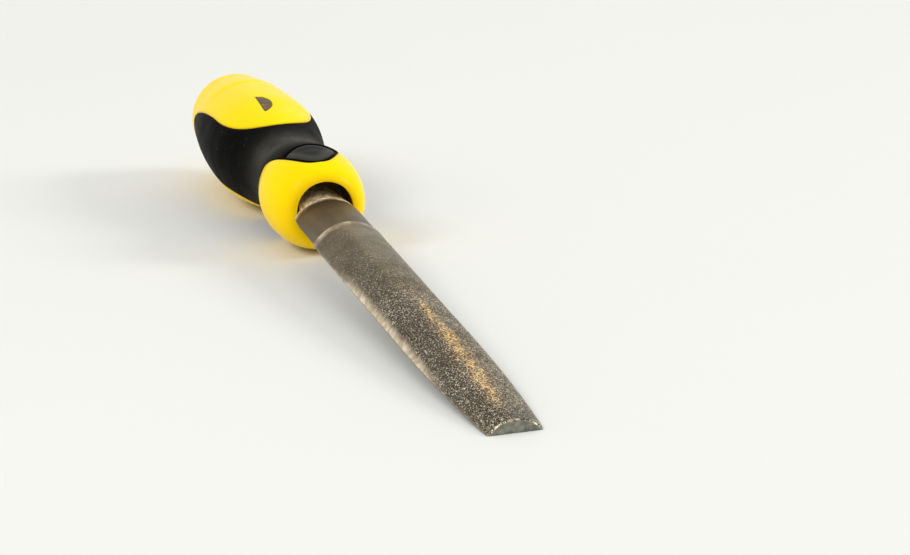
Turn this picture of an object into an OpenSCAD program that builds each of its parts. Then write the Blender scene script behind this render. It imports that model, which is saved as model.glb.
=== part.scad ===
// Half-round wood file with a two-material grip. +X runs along the blade to its tip and +Z is
// the convex side. The origin is the middle of the cut flat face, which looks down, along -Z.
// Inside the modules, x is measured from the handle's mouth and s backwards from it.

/* [Blade] */
// Length of the blade from the handle's mouth to its tip
blade_length = 200; // [150:1:250]
// Width of the blade along its parallel part
blade_width = 21; // [17:0.1:26]
// Thickness at the middle of the parallel part
blade_thickness = 6.3; // [5:0.1:8]
// Thickness at the middle of the tip
tip_thickness = 4; // [3:0.1:5]
// Where the taper towards the tip starts, from the mouth
taper_start = 123; // [80:1:140]
// Plain length between the mouth and the first tooth
heel_length = 25.5; // [15:0.5:40]
// How far the tooth points stand above the plain heel
tooth_height = 0.3; // [0.1:0.05:0.6]
// Width of the heel where it meets the mouth
heel_width = 19.2; // [17:0.1:22]
// Height of the blunt land along each long edge
edge_land = 0.35; // [0.2:0.05:0.8]

/* [Shoulder and tang] */
// Where the heel's top starts to slope down to the tang, from the mouth
shoulder_start = 2.8; // [1:0.1:6]
// Length of the shoulder behind the mouth
shoulder_length = 13; // [8:0.5:18]
// Top of the tang at its root, above the flat face
tang_top = 5.3; // [3.5:0.1:6]
// Thickness of the tang at its root
tang_thickness = 4; // [3:0.1:5]
// Width of the tang at its root
tang_width = 10; // [8:0.5:13]
// Length of the tang behind the shoulder
tang_length = 52; // [30:1:70]
// Width and thickness of the tang's blunt end
tang_end = 3; // [2:0.1:4]

/* [Handle] */
// Length of the handle
handle_length = 124; // [110:1:150]
// Height of the handle's axis above the flat face at the mouth
axis_height = 2; // [0:0.1:4]
// Angle by which the handle droops towards its butt
droop = 1.6; // [0:0.1:4]
// Radius of the bore in the mouth
mouth_r = 8.6; // [8:0.1:10.4]
// Radius of the collar at its fullest
collar_r = 15.2; // [14:0.1:18]
// Distance of the collar's fullest ring behind the mouth
collar_at = 18; // [14:0.5:20]
// Radius of the waist
waist_r = 12.1; // [11:0.1:14]
// Distance of the waist behind the mouth
waist_at = 38; // [32:0.5:44]
// Radius of the swell that fills the palm
swell_r = 17.3; // [15:0.1:20]
// Distance of the swell behind the mouth
swell_at = 76.5; // [60:0.5:80]
// Radius of the butt where its dome starts
butt_r = 14; // [12:0.1:16]
// Length of the butt's dome
dome_length = 11.5; // [8:0.5:16]

/* [Grip] */
// Thickness of the soft grip
grip_thickness = 2.4; // [1.5:0.1:3]
// Distance of the grip's front tongue behind the mouth
tongue_tip = 6; // [4:0.1:8]
// Angle from the top at which the tongue has run back into the ring
tongue_spread = 59; // [50:1:80]
// Distance of the grip's front edge behind the mouth, at the sides and below
ring_front = 28.8; // [24:0.5:32]
// Distance of the top panel's front behind the mouth
panel_front = 51.9; // [46:0.1:55]
// Half the width of the top panel
panel_half_width = 14.35; // [11:0.05:15]
// Distance of the panel's widest place behind the mouth
panel_widest = 77.5; // [74:0.5:84]
// Length of the side pads' round back ends
pad_end_length = 34.5; // [24:0.5:36]

/* [Thumb pad] */
// Half the width of the thumb pad's pocket
thumb_half_width = 8; // [6:0.1:9]
// Distance of the pocket's back edge behind the mouth
thumb_back = 20.5; // [18:0.1:24]
// Thickness of the thumb pad
thumb_thickness = 0.9; // [0.6:0.1:1.6]
// Width of the grip's rim in front of the pocket
thumb_rim = 0.7; // [0.5:0.1:1.2]
// Open crease all round the thumb pad
thumb_crease = 0.25; // [0.1:0.05:0.4]
// How far the thumb pad lies below the grip's surface
thumb_sink = 0.15; // [0:0.05:0.3]

/* [Profile mark] */
// Length of the half-round sign on the top panel
mark_length = 13; // [8:0.5:18]
// Width of the sign
mark_width = 3.8; // [2.5:0.1:6]
// Depth of the sign's inlay
mark_depth = 0.5; // [0.3:0.1:0.8]
// Distance of the sign's middle behind the mouth
mark_at = 68.5; // [62:0.5:76]
// Sideways place of the sign's straight edge
mark_side = -2.6; // [-5:0.1:0]

/* [Fits] */
// Gap between the tang's narrow sides and its socket. The wide sides bear on the socket.
tang_gap = 0.1; // [0.05:0.05:0.3]
// Gap between the sign's inlay and its recess
mark_gap = 0.05; // [0.02:0.01:0.1]

/* [Hidden] */
$fn = 96;
far = 400;
reach = 40;

flat_middle = (heel_length + blade_length) / 2;
half_width = blade_width / 2;
// The convex side is a round bar about an axis below the flat. It passes through the blade's
// crest and through the top of both edge lands.
bar_axis = (pow(half_width, 2) + pow(edge_land, 2) - pow(blade_thickness, 2))
    / (2 * (blade_thickness - edge_land));
bar_r = blade_thickness + bar_axis;
taper_fall = blade_thickness - tip_thickness;
taper_length = blade_length - taper_start;
taper_r = (pow(taper_length, 2) + pow(taper_fall, 2)) / (2 * taper_fall);
heel_flare = 18;
heel_start = 0.6;
neck_half = mouth_r - 0.9;
tang_back = shoulder_length + tang_length;
tang_middle = tang_top - tang_thickness / 2;
socket_end_gap = 3;

dome_at = handle_length - dome_length;
dome_power = 2.4;
tongue_power = 1.4;
pad_end_power = 1.6;
pad_half_height = sqrt(pow(handle_r(panel_widest), 2) - pow(panel_half_width, 2));
bore_depth = shoulder_length + 2;
// The thumb pad's front edge is a parabola whose ends clear the tongue's edge at the pad's foot
thumb_corner = foot_edge(thumb_half_width, foot_edge(thumb_half_width, collar_at));
thumb_rate = (thumb_corner - tongue_tip) / pow(thumb_half_width, 2);

function ease(t) = (1 - cos(180 * t)) / 2;
function between(a, b, t) = a + (b - a) * t;

// Radius of the handle at a distance s behind its mouth
function handle_r(s) =
    s < collar_at ? mouth_r + (collar_r - mouth_r) * sqrt(1 - pow(1 - s / collar_at, 2)) :
    s < waist_at ? between(collar_r, waist_r, ease((s - collar_at) / (waist_at - collar_at))) :
    s < swell_at ? between(waist_r, swell_r, ease((s - waist_at) / (swell_at - waist_at))) :
    s < dome_at ? between(swell_r, butt_r, pow((s - swell_at) / (dome_at - swell_at), 2)) :
    butt_r * pow(max(0, 1 - pow((s - dome_at) / dome_length, dome_power)), 1 / dome_power);

// Where the tongue's edge lies at an angle from the top
function tongue_edge(angle) =
    between(tongue_tip, ring_front, ease(pow(min(1, angle / tongue_spread), tongue_power)));

// Where the tongue's edge lies under a side y of the thumb pad's foot, with the radius taken at s
function foot_edge(y, s) =
    tongue_edge(atan2(y, sqrt(pow(handle_r(s), 2) - pow(y, 2)) - thumb_sink - thumb_thickness));

nose_steps = [for (a = [0:11.25:78.75]) collar_at * (1 - cos(a))];
dome_steps = [for (a = [0:11.25:90]) dome_at + dome_length * sin(a)];
body_steps = [for (i = [0:27]) between(collar_at * (1 - cos(84)), dome_at - 2, i / 27)];
steps = concat(nose_steps, body_steps, dome_steps);

// Places everything that is drawn along the handle's own drooping axis
module on_handle() {
    translate([0, 0, axis_height])
    rotate([0, -droop, 0])
    children();
}

// The handle's outer form, taken in by a distance
module handle_form(inset) {
    rotate([0, -90, 0])
    rotate_extrude()
    polygon(concat(
        [[0, inset]],
        [for (s = steps) if (s >= inset && s < handle_length - inset)
            [max(0.01, handle_r(s) - inset), s]],
        [[0, handle_length - inset]]));
}

// A wedge seen from the handle's axis: rows are [s, first angle, last angle], from the top
module wedge(rows) {
    spokes = 6;
    ring = spokes + 2;
    points = [for (row = rows) each concat(
        [[-row[0], 0, 0]],
        [for (i = [0:spokes])
            let (angle = between(row[1], row[2], i / spokes))
            [-row[0], reach * sin(angle), reach * cos(angle)]])];
    last = (len(rows) - 1) * ring;
    sides = [for (k = [0:len(rows) - 2], i = [0:ring - 1])
        let (a = k * ring + i, b = k * ring + (i + 1) % ring)
        each [[a, b + ring, b], [a, a + ring, b + ring]]];
    front = [for (i = [1:ring - 2]) [0, i, i + 1]];
    back = [for (i = [1:ring - 2]) [last, last + i + 1, last + i]];
    polyhedron(points, concat(sides, front, back));
}

// The tongue of the grip that runs forward over the collar. Its edge runs back in an S-curve as
// the angle from the top grows, until it joins the ring.
module tongue_zone() {
    wedge([for (i = [0:12])
        let (angle = between(4, tongue_spread, i / 12))
        [tongue_edge(angle), -angle, angle]]);
    wedge([for (s = [ring_front - 0.1, ring_front + 0.5]) [s, -tongue_spread, tongue_spread]]);
}

// One side pad of the grip, between the top and bottom panels
module pad_zone(side) {
    front_rows = [for (a = [0:10:80])
        let (s = panel_widest - (panel_widest - panel_front) * cos(a))
        [s, asin(panel_half_width * sin(a) / handle_r(s))]];
    back_rows = [for (a = [0:12:84])
        let (s = panel_widest + pad_end_length * sin(a),
             height = pad_half_height * sqrt(1 - pow(sin(a), pad_end_power)))
        [s, acos(height / handle_r(s))]];
    rows = concat(front_rows, back_rows);
    wedge([for (row = rows)
        side > 0 ? [row[0], row[1], 180 - row[1]] : [row[0], row[1] - 180, -row[1]]]);
}

// Everything that the soft grip covers, as zones on the handle's axis
module grip_zones() {
    tongue_zone();
    translate([-panel_front, -reach, -reach])
    cube([panel_front - ring_front, 2 * reach, 2 * reach]);
    pad_zone(1);
    pad_zone(-1);
}

// The grip's own volume: the handle's skin, where a zone covers it
module grip_volume() {
    intersection() {
        difference() {
            handle_form(0);
            handle_form(grip_thickness);
        }
        grip_zones();
    }
}

// Outline of the thumb pad from above, taken in by a margin. Its front is a bow inside the
// tongue's edge, and its back is a bow between the same two ends.
module thumb_outline(margin) {
    half = thumb_half_width - 2 * margin;
    function front_at(y) = tongue_tip + thumb_rim + margin + thumb_rate * pow(abs(y) + margin, 2);
    end = front_at(half);
    front = [for (i = [-8:8]) [-front_at(half * i / 8), half * i / 8]];
    back = [for (i = [7:-1:-7])
        [-between(end, thumb_back - margin, 1 - pow(i / 8, 2)), half * i / 8]];
    polygon(concat(front, back));
}

// The skin of the handle's top between two depths
module top_skin(high, low) {
    difference() {
        handle_form(high);
        handle_form(low);
    }
}

// The half-round sign: a straight edge below a bow, grown by a margin
module mark_shape(margin) {
    bow_r = (pow(mark_length / 2, 2) + pow(mark_width, 2)) / (2 * mark_width);
    intersection() {
        translate([-mark_at, mark_side + mark_width - bow_r])
        circle(r = bow_r + margin);
        translate([-mark_at - mark_length, mark_side - margin])
        square([2 * mark_length, mark_width + 2 * margin]);
    }
}

// The tang and the shoulder from above, grown by a gap
module tang_plan(gap) {
    half_root = tang_width / 2 + gap;
    half_end = tang_end / 2 + gap;
    polygon([
        [-shoulder_length + gap, -half_root], [-tang_back - gap, -half_end],
        [-tang_back - gap, half_end], [-shoulder_length + gap, half_root]]);
}

// The tang from the side, made longer by a gap but no thicker
module tang_side(gap) {
    fall = gap * (tang_thickness - tang_end) / (2 * tang_length);
    half_root = tang_thickness / 2 + fall;
    half_end = tang_end / 2 - fall;
    polygon([
        [-shoulder_length + gap, tang_middle - half_root], [-tang_back - gap, tang_middle - half_end],
        [-tang_back - gap, tang_middle + half_end], [-shoulder_length + gap, tang_middle + half_root]]);
}

// The tapered tang, and with a gap the socket that holds it
module tang(gap) {
    intersection() {
        translate([0, 0, -far / 2])
        linear_extrude(far)
        tang_plan(gap);
        rotate([90, 0, 0])
        translate([0, 0, -far / 2])
        linear_extrude(far)
        tang_side(gap);
    }
}

// The blade's outline from above: shoulder, heel and the parallel part
module blade_plan() {
    root = tang_width / 2;
    heel = heel_width / 2;
    side = concat(
        [[-shoulder_length, root]],
        [[-shoulder_length / 2, between(root, neck_half, 0.72)]],
        [[-2 * heel_start, neck_half], [heel_start / 2, neck_half + heel_start / 2]],
        [for (i = [0:6])
            [heel_start + heel_flare * i / 6, between(heel, half_width, sin(90 * i / 6))]],
        [[blade_length, half_width]]);
    polygon(concat(side, [for (i = [len(side) - 1:-1:0]) [side[i][0], -side[i][1]]]));
}

// The blade from the side: the sloped shoulder, the plain heel's step and the cut flat
module blade_side() {
    polygon([
        [-shoulder_length, tang_top - tang_thickness], [-1, tooth_height], [heel_length, tooth_height],
        [heel_length, 0], [blade_length, 0], [blade_length, far / 10],
        [shoulder_start, far / 10], [shoulder_start, blade_thickness - tooth_height],
        [-shoulder_length, tang_top]]);
}

// The round bar that gives the convex side, with its taper to the tip
module blade_bar() {
    translate([0, 0, -bar_axis])
    rotate([0, 90, 0])
    rotate_extrude($fn = 180)
    union() {
        translate([0, -shoulder_length])
        square([bar_r - tooth_height, shoulder_length + heel_length]);
        translate([0, heel_length])
        square([bar_r, taper_start - heel_length]);
        polygon(concat([[0, taper_start]],
            [for (i = [0:10])
                let (run = taper_length * i / 10)
                [bar_r - taper_r + sqrt(pow(taper_r, 2) - pow(run, 2)), taper_start + run]],
            [[0, blade_length]]));
    }
}

// One forging: half-round blade, plain heel, shoulder and tang
module file_blade() {
    color([0.30, 0.28, 0.24])
    translate([-flat_middle, 0, 0])
    union() {
        intersection() {
            blade_bar();
            translate([0, 0, -far / 2])
            linear_extrude(far)
            blade_plan();
            rotate([90, 0, 0])
            translate([0, 0, -far / 2])
            linear_extrude(far)
            blade_side();
        }
        tang(0);
    }
}

// Hard yellow core: collar, waist, both panels and butt, with the bore and the tang's socket
module handle_core() {
    color([0.99, 0.86, 0.02])
    translate([-flat_middle, 0, 0])
    difference() {
        on_handle()
        handle_form(0);
        on_handle()
        grip_volume();
        on_handle()
        rotate([0, -90, 0])
        translate([0, 0, -5])
        cylinder(r = mouth_r, h = bore_depth + 5);
        tang(tang_gap);
        translate([-tang_back - socket_end_gap, 0, tang_middle])
        rotate([0, 90, 0])
        cylinder(r = tang_end / 2 + tang_gap, h = socket_end_gap + 1);
        on_handle()
        intersection() {
            top_skin(-1, mark_depth);
            linear_extrude(reach)
            mark_shape(mark_gap);
        }
    }
}

// Soft black grip: a ring round the waist, a tongue over the collar and two side pads
module grip_overmould() {
    color([0.06, 0.06, 0.06])
    translate([-flat_middle, 0, 0])
    on_handle()
    difference() {
        grip_volume();
        intersection() {
            top_skin(-1, thumb_thickness + thumb_sink);
            linear_extrude(reach)
            thumb_outline(0);
        }
    }
}

// Almond-shaped thumb pad in its pocket on top of the grip's tongue
module thumb_pad() {
    color([0.13, 0.14, 0.13])
    translate([-flat_middle, 0, 0])
    on_handle()
    intersection() {
        top_skin(thumb_sink, thumb_thickness + thumb_sink);
        linear_extrude(reach)
        thumb_outline(thumb_crease);
    }
}

// Dark inlay on the top panel: a filled half-round section
module profile_mark() {
    color([0.20, 0.14, 0.03])
    translate([-flat_middle, 0, 0])
    on_handle()
    intersection() {
        top_skin(0, mark_depth);
        linear_extrude(reach)
        mark_shape(0);
    }
}

file_blade();
handle_core();
grip_overmould();
thumb_pad();
profile_mark();
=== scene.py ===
import math

import bpy
import numpy as np
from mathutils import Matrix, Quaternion, Vector


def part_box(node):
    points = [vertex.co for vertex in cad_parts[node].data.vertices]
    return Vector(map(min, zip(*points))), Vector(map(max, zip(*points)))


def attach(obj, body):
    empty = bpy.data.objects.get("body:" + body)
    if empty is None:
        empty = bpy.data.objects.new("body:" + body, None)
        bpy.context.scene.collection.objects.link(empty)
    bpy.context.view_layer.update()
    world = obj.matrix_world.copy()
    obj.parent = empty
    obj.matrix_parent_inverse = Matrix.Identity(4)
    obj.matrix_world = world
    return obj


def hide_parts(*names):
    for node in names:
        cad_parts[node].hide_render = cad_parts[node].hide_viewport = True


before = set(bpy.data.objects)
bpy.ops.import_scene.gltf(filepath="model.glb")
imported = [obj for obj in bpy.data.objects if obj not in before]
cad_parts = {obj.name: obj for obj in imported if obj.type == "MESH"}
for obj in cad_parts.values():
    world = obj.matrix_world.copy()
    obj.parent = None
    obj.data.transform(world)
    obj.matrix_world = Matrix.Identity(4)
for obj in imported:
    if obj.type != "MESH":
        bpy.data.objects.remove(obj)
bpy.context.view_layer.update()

# ---------------------------------------------------------------- Blade
# One forging of hardened tool steel. The half-round blade is cut all over with fine crowded
# teeth that hold wood dust along the crest, the heel is left plain, and the tapered tang behind
# it is pressed into the handle.

# Sizes are in millimetres, and places along the blade are counted from the handle's mouth
blade_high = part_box("file_blade")[1]
BLADE_LENGTH = 200.0
MOUTH = blade_high.x * 1000 - BLADE_LENGTH
HALF_WIDTH = 10.5
HEEL_HALF_WIDTH = 9.6
HEEL_END = 25.5
BAR_RADIUS = 12.24
BAR_DEPTH = 5.94
TAPER_START = 123.0
TAPER_RADIUS = 1290.0
LAND_HEIGHT = 0.3
TOOTH_DEPTH = 0.30
TOOTH_PITCH = 0.80
UNDER_PITCH = 1.25
SHOULDER_START = 2.8
SHOULDER_LENGTH = 13.0
TANG_END = -SHOULDER_LENGTH - 52.0
SKIN_GAP = 0.03

# Stations along the blade, closer together at the shoulder, at the heel's end and in the teeth
steps = [
    np.linspace(TANG_END, -SHOULDER_LENGTH, 14, endpoint=False),
    np.linspace(-SHOULDER_LENGTH, SHOULDER_START - 0.4, 26, endpoint=False),
    np.linspace(SHOULDER_START - 0.4, SHOULDER_START + 0.4, 5, endpoint=False),
    np.linspace(SHOULDER_START + 0.4, HEEL_END - 0.3, 30, endpoint=False),
    np.linspace(HEEL_END - 0.3, HEEL_END + 1.2, 12, endpoint=False),
    np.linspace(HEEL_END + 1.2, BLADE_LENGTH - 0.15, 600),
]
along = np.concatenate(steps)[:, None]


def ramp(value, start, end):
    """S-curve from 0 at start to 1 at end."""
    t = np.clip((value - start) / (end - start), 0, 1)
    return t * t * (3 - 2 * t)


def drift(a, b, cell, seed):
    """Smooth random field from -1 to 1: random values at the corners of a square lattice whose
    spacing is cell, blended between the corners with an S-curve."""
    table = np.random.default_rng(seed).uniform(-1, 1, (512, 512))
    u, v = np.broadcast_arrays(a / cell, b / cell)
    i, j = np.floor(u).astype(int), np.floor(v).astype(int)
    fu, fv = ramp(u - i, 0, 1), ramp(v - j, 0, 1)
    i, j, k, m = i % 512, j % 512, (i + 1) % 512, (j + 1) % 512
    near = table[i, j] * (1 - fv) + table[i, m] * fv
    return near * (1 - fu) + (table[k, j] * (1 - fv) + table[k, m] * fv) * fu


def teeth(a, b, pitch, seed):
    """Height from 0 in a gullet to 1 at a tooth point, and one random number for each tooth: two
    crossing sets of slanted furrows, each a slow rise and a quick fall, with wandering spacing."""
    first = (a * 0.84 + b * 0.54) / pitch + 0.45 * drift(a, b, 1.9, seed)
    second = (a * 0.74 - b * 0.67) / (0.86 * pitch) + 0.45 * drift(a, b, 1.4, seed + 1)
    rises = [np.minimum((p % 1) / 0.72, (1 - p % 1) / 0.28) for p in (first, second)]
    table = np.random.default_rng(seed + 2).random((512, 512))
    each = table[np.floor(first).astype(int) % 512, np.floor(second).astype(int) % 512]
    return (rises[0] * rises[1]) ** 0.6 * (0.55 + 0.45 * each), each


def build_piece(name, points, quads, triangles=(), masks=None, crease=38):
    """Points in millimetres and corner numbers become a closed mesh in metres. The faces are
    turned outward when the volume inside them comes out negative."""
    points = np.asarray(points, float).reshape(-1, 3)
    quads = np.asarray(quads, int).reshape(-1, 4)
    triangles = np.asarray(triangles, int).reshape(-1, 3)
    halves = np.concatenate([quads[:, [0, 1, 2]], quads[:, [0, 2, 3]], triangles])
    a, b, c = (points[halves[:, k]] for k in range(3))
    if np.einsum("ij,ij->", a, np.cross(b, c)) < 0:
        quads, triangles = quads[:, ::-1], triangles[:, ::-1]
    corners = np.concatenate([quads.ravel(), triangles.ravel()]).astype(np.int32)
    starts = np.arange(len(quads)) * 4
    starts = np.concatenate([starts, len(quads) * 4 + np.arange(len(triangles)) * 3])
    mesh = bpy.data.meshes.new(name)
    mesh.vertices.add(len(points))
    mesh.vertices.foreach_set("co", (points * 0.001).astype(np.float32).ravel())
    mesh.loops.add(len(corners))
    mesh.loops.foreach_set("vertex_index", corners)
    mesh.polygons.add(len(starts))
    mesh.polygons.foreach_set("loop_start", starts.astype(np.int32))
    mesh.update(calc_edges=True)
    mesh.validate()
    for key, values in (masks or {}).items():
        mask = mesh.attributes.new(key, "FLOAT", "POINT")
        mask.data.foreach_set("value", np.asarray(values, np.float32).ravel())
    mesh.shade_smooth()
    mesh.set_sharp_from_angle(angle=math.radians(crease))
    piece = bpy.data.objects.new(name, mesh)
    bpy.context.scene.collection.objects.link(piece)
    return piece


def ring_quads(rows, columns):
    """Quads of a tube: rows of points, each row a closed ring of columns points."""
    i = np.arange(rows - 1)[:, None] * columns
    j = np.arange(columns)[None, :]
    k = (j + 1) % columns
    return np.stack([i + j, i + columns + j, i + columns + k, i + k], -1).reshape(-1, 4)


def fan(centre, first, columns, flip=False):
    """Triangles from one centre point to a closed ring that starts at point number first."""
    j = np.arange(columns)
    k = (j + 1) % columns
    pair = (k, j) if flip else (j, k)
    return np.stack([np.full(columns, centre), first + pair[0], first + pair[1]], -1)


# The radius of the round back follows a large circle towards the tip and lies a hair inside the
# CAD face. The half width flares behind the heel in a quarter sine, and the neck, the underside
# and the lid over the tang run straight from station to station.
run = np.clip(along - TAPER_START, 0, None)
toothed = ramp(along, HEEL_END - 0.05, HEEL_END + 0.25)
back = BAR_RADIUS - TAPER_RADIUS + np.sqrt(TAPER_RADIUS**2 - run**2)
back = back - SKIN_GAP - TOOTH_DEPTH * (1 - toothed)
back = back - 0.35 * ramp(along, BLADE_LENGTH - 0.5, BLADE_LENGTH)
quarter = np.clip((along - 0.6) / 18, 0, 1) * math.pi / 2
flare = HEEL_HALF_WIDTH + (HALF_WIDTH - HEEL_HALF_WIDTH) * np.sin(quarter)
neck_stations = [TANG_END, -SHOULDER_LENGTH, -6.5, -1.2, 0.2]
neck = np.interp(along, neck_stations, [1.45, 4.95, 6.9, 7.65, 7.65])
half = neck + (flare - neck) * ramp(along, 0.2, 0.7)
half = np.minimum(half, np.sqrt(np.clip(back**2 - (BAR_DEPTH + LAND_HEIGHT) ** 2, 1, None)))
under = np.interp(along, [TANG_END, -SHOULDER_LENGTH, -1, 0], [1.82, 1.32, 0.31, 0.31])
under = under * (1 - toothed)
lid_stations = [TANG_END, -SHOULDER_LENGTH, SHOULDER_START, 3.2]
lid = np.interp(along, lid_stations, [4.78, 5.28, 6.0, 7.0])
back = back - 0.03 * np.clip(SHOULDER_START - along, 0, 16)

# Across the round back: a strip worn bare along one edge, teeth elsewhere, and a heap of dust
# whose height falls off from the crest as a bell curve
across = np.linspace(-1, 1, 91)[None, :]
spread = np.arcsin(half / back)
arc = back * spread * across
edge_left = half * (1 + across)
edge_right = half * (1 - across)
bare = 1 - ramp(edge_left + 0.3 * drift(along, across * 3, 7, 5), 0.5, 2.6)
bare = bare * ramp(along, 48, 85) * (1 - ramp(along, 130, 168))
height, each = teeth(along, arc, TOOTH_PITCH, 11)
strength = ramp(along, HEEL_END + 0.9, HEEL_END + 2.2) * (0.5 + 0.5 * ramp(along, 45, 100))
strength = strength * (1 - 0.9 * bare) * ramp(edge_left, 0.05, 0.7) * ramp(edge_right, 0.05, 0.5)
strength = strength * (1 - 0.6 * ramp(along, 188, 197) * ramp(across, -0.2, 0.4))
heap = 1.1 + 1.7 * ramp(along, 100, 145) - 1.3 * ramp(along, 165, 192)
crest_line = 0.9 - 2.0 * (along - 95) / 95
pile = np.exp(-(((arc - crest_line + 0.5 * drift(along, arc, 6, 8)) / heap) ** 2))
pile = pile * ramp(along, 94, 104) * (1 - ramp(along, 184, 193))
dust = pile * (0.72 + 0.28 * drift(along, arc, 2.2, 9)) * (1 - 0.5 * height)
cut = TOOTH_DEPTH * 0.9 * strength * (1 - height) * (1 - 0.5 * dust)
radius = back - cut + 0.012 * drift(along, arc, 0.9, 6)
top_y = radius * np.sin(spread * across)
top_z = np.minimum(radius * np.cos(spread * across) - BAR_DEPTH, lid)

# Across the flat underside, which has coarser teeth and a slightly raised border
flat = np.linspace(1, -1, 37)[None, :]
flat_y = half * flat
under_height, under_each = teeth(along, flat_y * 0.5, UNDER_PITCH, 21)
under_strength = ramp(along, HEEL_END + 0.9, HEEL_END + 2.2) * ramp(1 - abs(flat), 0.0, 0.06)
under_cut = TOOTH_DEPTH * 0.8 * under_strength * (1 - under_height)
flat_z = under + under_cut + 0.06 * (abs(flat) > 0.99)


def side_by_side(top, right, below, left):
    """One row for each station: the round back, a land, the underside and the other land."""
    shape = (len(along), 1)
    parts = [top, np.broadcast_to(right, shape), below, np.broadcast_to(left, shape)]
    return np.concatenate([np.broadcast_to(p, (len(along), p.shape[1])) for p in parts], 1)


ring_y = side_by_side(top_y, half, flat_y, -half)
land_right = (top_z[:, -1:] + flat_z[:, :1]) / 2
land_left = (top_z[:, :1] + flat_z[:, -1:]) / 2
ring_z = side_by_side(top_z, land_right, flat_z, land_left)
ring_x = np.broadcast_to(along + MOUTH, ring_y.shape)
columns = ring_y.shape[1]
points = np.stack([ring_x, ring_y, ring_z], -1)

# The square-cut end is the last ring drawn in towards a centre, with a chipped rim
chips = 0.5 + 0.5 * drift(ring_y[-1], ring_z[-1] + 50, 0.7, 15)
centre = np.array([BLADE_LENGTH + MOUTH, 0, 1.5])
shrinks = [1 - 0.022 * (0.4 + chips), 1 - 0.05 * (0.6 + chips), 0.86, 0.6, 0.3]
insets = [0.05, 0.0, 0.0, 0.0, 0.0]
for shrink, inset in zip(shrinks, insets):
    ring = centre + (points[len(along) - 1] - centre) * np.asarray(shrink).reshape(-1, 1)
    ring[:, 0] = BLADE_LENGTH + MOUTH - inset - 0.02 * (1 - np.mean(shrink))
    points = np.concatenate([points, ring[None]])
rows = len(points)
tang_centre = points[0].mean(0)
blade_points = np.concatenate([points.reshape(-1, 3), [centre - [0.02, 0, 0]], [tang_centre]])
tip_cap = fan(rows * columns, (rows - 1) * columns, columns)
tang_cap = fan(rows * columns + 1, 0, columns, True)


def whole_blade(field, end):
    """A mask over the rings, then one value for the end's rings and the two cap centres."""
    extra = np.full((len(shrinks), columns), end, float)
    return np.concatenate([np.concatenate([field, extra]).ravel(), [end, 0]])


# Masks from 0 to 1 for the material: a painted highlight along the crest, the plain heel, and
# bright metal that is partly real wear on the bare strip, the burr and one corner, and partly
# painted highlight on the lip at the heel's end, the crease of the shoulder, both rims and the bare
# strip
zero = np.zeros((len(along), 1))
tooth_mask = side_by_side(height * strength, zero, under_height * under_strength, zero)
each_mask = side_by_side(each, zero, under_each, zero)
# A painted highlight in a band along the crest
crest_highlight = ramp(arc + 0.6 * drift(along, arc, 14, 23), -3.6, -0.8)
crest_highlight = crest_highlight * (1 - 0.4 * ramp(arc, 2.5, 7.0)) * (0.75 + 0.25 * ramp(along, 30, 90))
crest_highlight = crest_highlight * ramp(along, HEEL_END - 1, HEEL_END + 3)
crest_highlight_mask = side_by_side(crest_highlight * (1 - 0.6 * ramp(along, 190, 198)), zero, 0 * flat_y, zero)
dust_mask = side_by_side(dust, zero, 0 * flat_y, zero)
plain = 1 - ramp(along, HEEL_END - 0.3, HEEL_END + 2.0)
plain_mask = side_by_side(plain + 0 * top_y, plain, plain + 0 * flat_y, plain)
# Painted highlights on the lip where the teeth begin, on the shoulder's crease and along both rims
lip_highlight = ramp(along, HEEL_END - 0.25, HEEL_END + 0.4)
lip_highlight = lip_highlight * (1 - ramp(along, HEEL_END + 0.8, HEEL_END + 4.5))
lip_highlight = lip_highlight * (0.62 + 0.38 * drift(along * 0.3, arc, 1.6, 16)) * (0.75 - 0.25 * across)
crease = np.exp(-(((along - SHOULDER_START + 0.4) / 0.5) ** 2)) * 0.40
crease = crease * (0.7 + 0.3 * drift(along, arc, 1.5, 18))
rim_highlights = np.exp(-edge_left / 0.22) * 0.75 + np.exp(-edge_right / 0.3) * 0.8
rim_highlights = rim_highlights * ramp(along, 12, 40) * (0.6 + 0.4 * drift(along, across * 9, 1.2, 17))
burr = ramp(along, BLADE_LENGTH - 1.0, BLADE_LENGTH - 0.3)
burr = burr * ramp(drift(along * 0.5, arc, 0.8, 19), 0.0, 0.4)
nicked = ramp(along, 192, 199) * np.exp(-((edge_right / 3.5) ** 2))
nicked = nicked * ramp(drift(along, arc, 0.7, 20), 0.1, 0.4)
wear_and_highlights = np.clip(bare * 0.9 + lip_highlight + crease + rim_highlights + 0.9 * burr + 0.8 * nicked, 0, 1)
wear_and_highlight_mask = side_by_side(wear_and_highlights, 0.15 + zero, 0 * flat_y, 0.15 + zero)
# Painted light on the neck inside the handle's mouth, where the bore shades it
lit_neck = 1 - ramp(along, 0.6, 2.9)
lit_neck_mask = side_by_side(lit_neck + 0 * top_y, lit_neck, 0.25 * lit_neck + 0 * flat_y, lit_neck)
blade_masks = {
    "tooth": whole_blade(tooth_mask, 0.6),
    "each": whole_blade(each_mask, 0.2),
    "dust": whole_blade(dust_mask, 0),
    "crest_highlight": whole_blade(crest_highlight_mask, 0),
    "plain": whole_blade(plain_mask, 0.0),
    "wear_and_highlights": whole_blade(wear_and_highlight_mask, 0.0),
    "end": whole_blade(0 * ring_y, 1.0),
    "neck": whole_blade(lit_neck_mask, 0),
}
blade_caps = np.concatenate([tip_cap, tang_cap])
blade_quads = ring_quads(rows, columns)
blade = build_piece("file_blade_steel", blade_points, blade_quads, blade_caps, blade_masks)


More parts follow.
